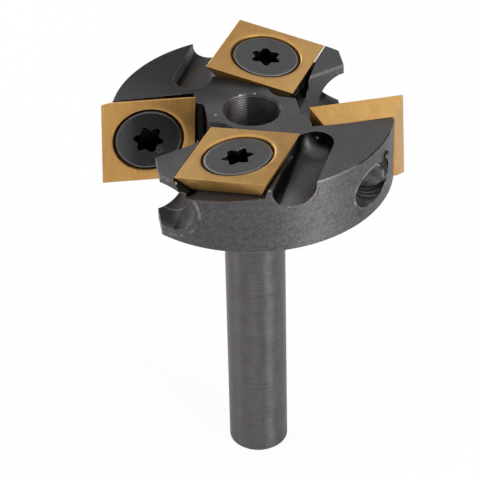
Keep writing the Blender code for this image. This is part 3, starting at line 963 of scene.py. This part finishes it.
def insert_shape():
    """Up the hole and its countersink, out over the face and down the flanks."""
    half = INSERT_SIDE / 2
    back = half - INSERT_THICKNESS * math.tan(math.radians(FLANK_ANGLE))
    sink = SINK_RADIUS - HOLE_RADIUS
    shape = bmesh.new()
    bmesh.ops.create_circle(shape, segments=RING_POINTS, radius=HOLE_RADIUS)
    bmesh.ops.translate(shape, vec=(0, 0, -INSERT_THICKNESS), verts=shape.verts)
    ring = first = list(shape.edges)
    for radius, height in ((HOLE_RADIUS, -sink - 0.35), (HOLE_RADIUS + 0.1, -sink - 0.25),
                           (SINK_RADIUS - 0.2, -1.1), (SINK_RADIUS - 0.1, -0.14), (SINK_RADIUS - 0.02, -0.06),
                           (SINK_RADIUS + 0.16, 0), (SINK_RADIUS + 0.5, 0)):
        ring = next_ring(shape, ring, radius, height)
    for reach, height in ((half - HONE, 0), (half, -HONE), (back, -INSERT_THICKNESS)):
        ring = next_ring(shape, ring, reach, height, True)
    bmesh.ops.bridge_loops(shape, edges=ring + first)
    bmesh.ops.recalc_face_normals(shape, faces=shape.faces)
    return shape


for kind, seat in SEATS.items():
    shape = insert_shape()
    if kind == "standing_b":
        chip_corner(shape, random.Random(3))
    insert = piece_from(shape, "gold_insert_" + kind, INSERT_FINISH, seat, 25)
    seat_piece(insert, "insert_" + kind)

# %% [markdown]
# ## The screws
#
# A countersunk screw with a six-lobed socket. The socket's outline is a circle whose radius swings six
# times in one turn. The head starts from that outline: it goes down into the socket and closes in a
# shallow point, and from the same outline rings go out over the head, down the cone and along the shank,
# where the thread is a helix again.

# %% Turn the screws
SCREW_RADIUS = 2.5
SCREW_HEAD_RADIUS = 4.23
SCREW_TOP = -0.15
SOCKET_TIP = 1.97
SOCKET_ROOT = 1.38
SOCKET_DEPTH = 1.9
SOCKET_TURNS = {"lying_a": 51.3, "lying_b": 26.5, "standing_a": 12.0, "standing_b": 47.0}
LAND_RADIUS = 2.25
LAND_RINGS = 12
THREAD_ROWS = 6
THREAD_DEPTH = 0.3


def lobed_ring(shape, ring, height, shrink):
    """Push a ring of edges to the socket's outline at a new height."""
    points, edges = push_out(shape, ring)
    for point in points:
        angle = math.atan2(point.co.y, point.co.x)
        middle = (SOCKET_TIP + SOCKET_ROOT) / 2 - shrink
        radius = middle + (SOCKET_TIP - SOCKET_ROOT) / 2 * math.cos(6 * angle)
        point.co.xy = Vector((math.cos(angle), math.sin(angle))) * radius
        point.co.z = height
    return edges


def close_ring(shape, ring, height):
    """Draw a ring of edges together to one point on the axis."""
    for point in push_out(shape, ring)[0]:
        point.co = (0, 0, height)


def sink_socket(shape, ring):
    """From the land's inner circle down into the socket and to its shallow point."""
    for height, shrink in ((SCREW_TOP, -0.06), (SCREW_TOP - 0.08, 0), (SCREW_TOP - SOCKET_DEPTH, 0.04)):
        ring = lobed_ring(shape, ring, height, shrink)
    close_ring(shape, ring, SCREW_TOP - SOCKET_DEPTH - 0.5)


def turn_head(shape, ring):
    """From the land's inner circle out over the head, round its edge and down the cone."""
    edge = SCREW_HEAD_RADIUS
    for step in range(LAND_RINGS):
        radius = LAND_RADIUS + (edge - 0.3 - LAND_RADIUS) * (step + 1) / LAND_RINGS
        ring = next_ring(shape, ring, radius, SCREW_TOP - 0.012 * (step % 2))
    for inset, drop in ((0.1, 0.02), (0.03, 0.05), (0, 0.1), (0, 0.2)):
        ring = next_ring(shape, ring, edge - inset, SCREW_TOP - drop)
    neck = SCREW_TOP - 0.2 - (edge - SCREW_RADIUS)
    return next_ring(shape, ring, SCREW_RADIUS, neck), neck


def cut_thread(shape, ring, neck):
    """Rings down the shank, whose points are then drawn in along a helix."""
    rows = int((SCREW_REACH + neck - 0.5) / TAP_PITCH * THREAD_ROWS)
    for row in range(rows):
        ring = next_ring(shape, ring, SCREW_RADIUS, neck - (row + 1) * TAP_PITCH / THREAD_ROWS)
    for vertex in shape.verts:
        if vertex.co.z < neck - 0.05:
            angle = math.atan2(vertex.co.y, vertex.co.x) / (2 * math.pi)
            fade = min(1, (neck - vertex.co.z) / TAP_PITCH)
            depth = THREAD_DEPTH * fade * (1 - ridge(vertex.co.z / TAP_PITCH - angle))
            vertex.co.xy = vertex.co.xy.normalized() * (SCREW_RADIUS - depth)
    return ring


def screw_shape(turn):
    """One screw, its socket turned by an angle in radians."""
    shape = bmesh.new()
    bmesh.ops.create_circle(shape, segments=RING_POINTS, radius=LAND_RADIUS)
    bmesh.ops.translate(shape, vec=(0, 0, SCREW_TOP), verts=shape.verts)
    land = list(shape.edges)
    sink_socket(shape, land)
    ring, neck = turn_head(shape, land)
    ring = cut_thread(shape, ring, neck)
    close_ring(shape, next_ring(shape, ring, SCREW_TIP, -SCREW_REACH), -SCREW_REACH)
    bmesh.ops.remove_doubles(shape, verts=shape.verts, dist=0.0001)
    bmesh.ops.rotate(shape, cent=(0, 0, 0), matrix=Matrix.Rotation(turn, 3, "Z"), verts=shape.verts)
    bmesh.ops.recalc_face_normals(shape, faces=shape.faces)
    return shape


for kind, seat in SEATS.items():
    shape = screw_shape(math.radians(SOCKET_TURNS[kind]))
    screw = piece_from(shape, "six_lobe_screw_" + kind, SCREW_FINISHES[kind[:-2]], seat, 32)
    seat_piece(screw, "screw_" + kind)

# %% [markdown]
# ## Floor and light
#
# The photograph is a studio shot on white. The floor is white too, under one large soft lamp overhead,
# three smaller ones at the sides and a pale room, so dark steel mirrors something bright from every side.

# %% Set the stage
def floor_finish():
    """White paper that the camera sees almost as a lamp, so that it stays pure white."""
    finish = Finish("white_floor", roughness=0.9)
    finish.shader.inputs["Base Color"].default_value = (0.86, 0.86, 0.86, 1)
    output = finish.tree.nodes["Material Output"]
    seen = finish.node("ShaderNodeEmission", inputs={"Color": (1, 1, 1, 1), "Strength": 1.0})
    camera_ray = finish.node("ShaderNodeLightPath", output="Is Camera Ray")
    blend = finish.node("ShaderNodeMixShader", inputs={0: camera_ray * 0.93})
    node = blend.socket.node
    finish.tree.links.new(finish.shader.outputs[0], node.inputs[1])
    finish.tree.links.new(seen.socket, node.inputs[2])
    finish.tree.links.new(blend.socket, output.inputs["Surface"])
    return finish.material


def make_floor(size=4.0):
    """A square floor under the tool, which belongs to the stage."""
    shape = bmesh.new()
    bmesh.ops.create_grid(shape, x_segments=1, y_segments=1, size=size / 2)
    mesh = bpy.data.meshes.new("floor")
    shape.to_mesh(mesh)
    shape.free()
    mesh.materials.append(floor_finish())
    floor = bpy.data.objects.new("floor", mesh)
    bpy.context.scene.collection.objects.link(floor)


def soft_lamp(name, place, target, size, power):
    """A square lamp that looks at a point, sizes in metres and power in watts."""
    lamp = bpy.data.lights.new(name, "AREA")
    lamp.shape = "RECTANGLE"
    lamp.size, lamp.size_y = size
    lamp.energy = power
    holder = bpy.data.objects.new(name, lamp)
    holder.location = place
    holder.rotation_euler = (Vector(target) - Vector(place)).to_track_quat("-Z", "Y").to_euler()
    bpy.context.scene.collection.objects.link(holder)


def make_room(strength):
    """An even pale room all round."""
    world = bpy.data.worlds.new("studio")
    bpy.context.scene.world = world
    world.use_nodes = True
    background = world.node_tree.nodes["Background"]
    background.inputs["Color"].default_value = (1, 1, 1, 1)
    background.inputs["Strength"].default_value = strength


HEAD_MIDDLE = (0, 0, (FACE + HEAD_BACK) / 2 * MM)
make_floor()
make_room(0.28)
soft_lamp("overhead_sheet", (0.0, -0.015, 0.27), (0.0, -0.015, 0.0), (0.6, 0.57), 0.75)
soft_lamp("right_window", (0.21, -0.28, 0.13), HEAD_MIDDLE, (0.13, 0.24), 1.4)
soft_lamp("left_window", (-0.32, -0.06, 0.10), HEAD_MIDDLE, (0.12, 0.20), 0.28)
soft_lamp("back_window", (-0.16, 0.33, 0.10), HEAD_MIDDLE, (0.20, 0.20), 0.7)
print("lit")

# %% [markdown]
# ## The camera
#
# The camera stands where the picture was taken from: its angles, its distance and its lens were solved
# from the shapes of the disc and of the inserts.

# %% The photograph's camera
CAMERA_PLACE = (-35.83, -238.77, 211.47)
CAMERA_AZIMUTH = -8.07
CAMERA_ELEVATION = 36.37
CAMERA_ROLL = -1.42
CAMERA_LENS = 171.0


def make_camera():
    """A camera at the photograph's place, turned, tilted and rolled as it was."""
    data = bpy.data.cameras.new("photo_camera")
    data.lens = CAMERA_LENS
    data.sensor_width = 36
    data.clip_start = 0.01
    camera = bpy.data.objects.new("photo_camera", data)
    turn = Matrix.Rotation(math.radians(CAMERA_AZIMUTH), 4, "Z")
    tilt = Matrix.Rotation(math.radians(90 - CAMERA_ELEVATION), 4, "X")
    roll = Matrix.Rotation(math.radians(CAMERA_ROLL), 4, "Z")
    camera.matrix_world = Matrix.Translation(Vector(CAMERA_PLACE) * MM) @ turn @ tilt @ roll
    bpy.context.scene.collection.objects.link(camera)
    bpy.context.scene.camera = camera


make_camera()
bpy.context.scene.view_settings.view_transform = "Standard"
print("camera set")
